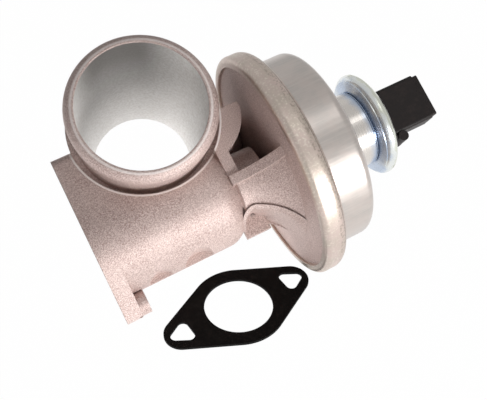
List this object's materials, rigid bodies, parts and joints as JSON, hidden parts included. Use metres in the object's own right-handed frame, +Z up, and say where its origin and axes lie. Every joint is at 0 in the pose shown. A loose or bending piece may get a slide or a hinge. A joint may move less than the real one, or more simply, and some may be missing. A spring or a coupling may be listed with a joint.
{
  "type": "exhaust gas recirculation valve",
  "caption": "Vacuum-operated exhaust gas recirculation valve: cast body with a through air duct, poppet valve, diaphragm chamber and position sensor, with a loose flange gasket.",
  "frame": {"origin": "centre of the exhaust flange's face, on the axis of the valve stem", "axes": "the valve and its gasket as they lie on a bench: +Z up from the bench, +X the stem's direction seen from above, from the exhaust flange towards the sensor plug, which rises 10.8 degrees; the body is rolled 36.2 degrees about the stem, so that the duct's near mouth looks up and towards -Y"},
  "size_m": [0.1675, 0.1356, 0.1097],
  "materials": {
    "casting": "matte blasted casting",
    "pressed_sheet": "satin pressed sheet",
    "zinc_plated": "bright zinc plating with a blue tint",
    "steel_plain": "machined",
    "spring_steel": "satin",
    "bronze": "sintered",
    "rubber": "matte",
    "black_plastic": "moulded",
    "tinned_pins": "tinned",
    "board": "smooth",
    "gasket_black": "coated sheet, satin"
  },
  "bodies": {
    "housing": {"body": "casting", "seat_ring": "steel_plain", "guide_bush": "bronze", "stem_seal": "rubber", "seal_retainer": "steel_plain", "cover": "pressed_sheet", "vacuum_nipple": "steel_plain", "sensor_cap": "zinc_plated", "sensor_body": "black_plastic", "vent_plug": "black_plastic", "terminals": "tinned_pins", "track_board": "board", "diaphragm": "rubber", "return_spring": "spring_steel", "plunger_spring": "spring_steel", "gasket": "gasket_black"},
    "stem": {"poppet": "steel_plain", "back_plate": "steel_plain", "spring_cup": "steel_plain", "stem_nut": "steel_plain"},
    "sensor": {"plunger": "black_plastic", "wiper": "tinned_pins"}
  },
  "joints": [
    {"name": "stem_slide", "type": "slide", "parent": "housing", "child": "stem", "axis": [0.9823, 0, 0.1874], "range_m": [0, 0.007], "stiffness_N_per_m": 3000, "springref_m": -0.01, "deforming": ["return_spring", "diaphragm"]},
    {"name": "sensor_slide", "type": "slide", "parent": "housing", "child": "sensor", "axis": [0.9823, 0, 0.1874], "range_m": [0, 0.007], "deforming": ["plunger_spring"]}
  ],
  "couplings": [
    {"joint": "sensor_slide", "follows": "stem_slide", "ratio": 1}
  ]
}
